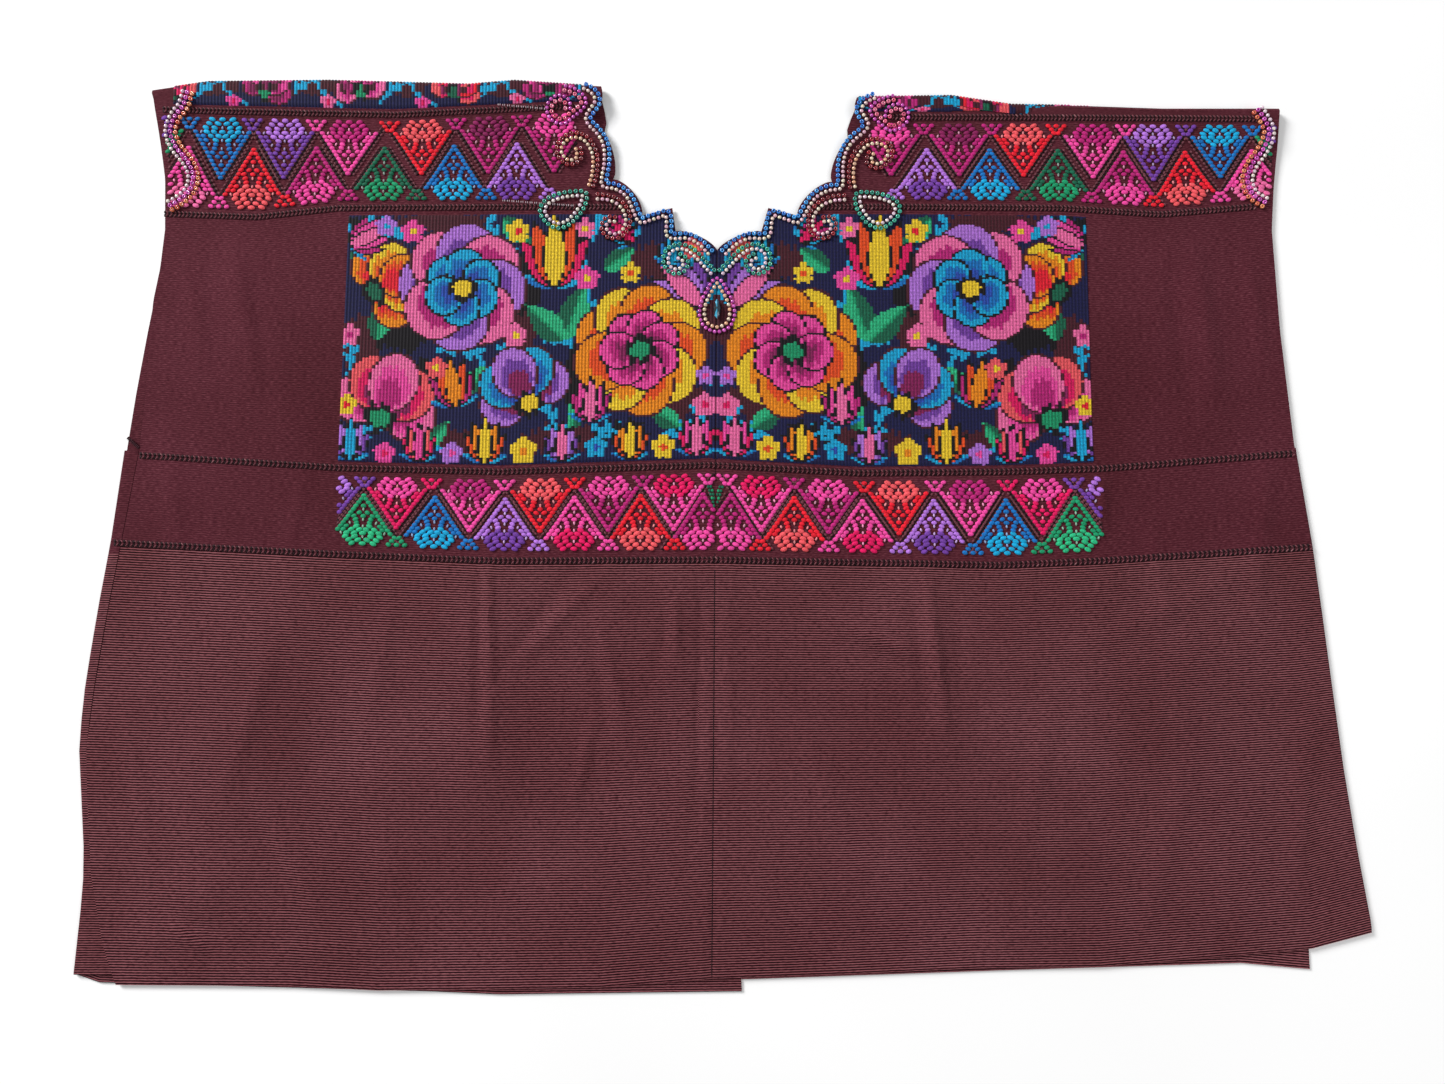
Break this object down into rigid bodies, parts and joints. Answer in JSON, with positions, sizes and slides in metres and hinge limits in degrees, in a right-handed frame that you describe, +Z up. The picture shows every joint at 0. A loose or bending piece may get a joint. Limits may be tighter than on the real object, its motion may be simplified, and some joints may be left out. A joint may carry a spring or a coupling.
{
  "type": "huipil blouse",
  "caption": "Loom-woven huipil blouse laid flat, front up, with brocaded shoulder and chest panels, corded rows and beaded scrollwork round a scalloped neck.",
  "frame": {"origin": "centre of the laid blouse's outline, on the surface that it lies on", "axes": "+X to the right as the blouse is seen from above with its neck up, +Y from the hem to the shoulders, +Z up off the surface"},
  "size_m": [0.9076, 0.6646, 0.0098],
  "materials": {
    "web_cloth": "ribbed handwoven cotton, maroon, with brocaded panels",
    "edging_beads": "small round glass beads, blue with a pearl row inside",
    "scroll_beads": "small round glass beads in rows of pink, dark red, teal and pearl",
    "teardrop_beads": "small round glass beads, teal with a pearl row inside",
    "wave_beads": "small round glass beads in rows of magenta, pearl and orange",
    "drop_bead": "faceted blue drop bead"
  },
  "bodies": {
    "root": {"left_web": "web_cloth", "right_web": "web_cloth", "left_neck_edging": "edging_beads", "left_top_spiral": "scroll_beads", "left_upper_spiral": "scroll_beads", "left_lower_spiral": "scroll_beads", "left_centre_scroll": "scroll_beads", "left_teardrop": "teardrop_beads", "left_armhole_wave": "wave_beads", "right_neck_edging": "edging_beads", "right_top_spiral": "scroll_beads", "right_upper_spiral": "scroll_beads", "right_lower_spiral": "scroll_beads", "right_centre_scroll": "scroll_beads", "right_teardrop": "teardrop_beads", "right_armhole_wave": "wave_beads", "centre_teardrop": "wave_beads", "drop_bead": "drop_bead"}
  },
  "joints": []
}
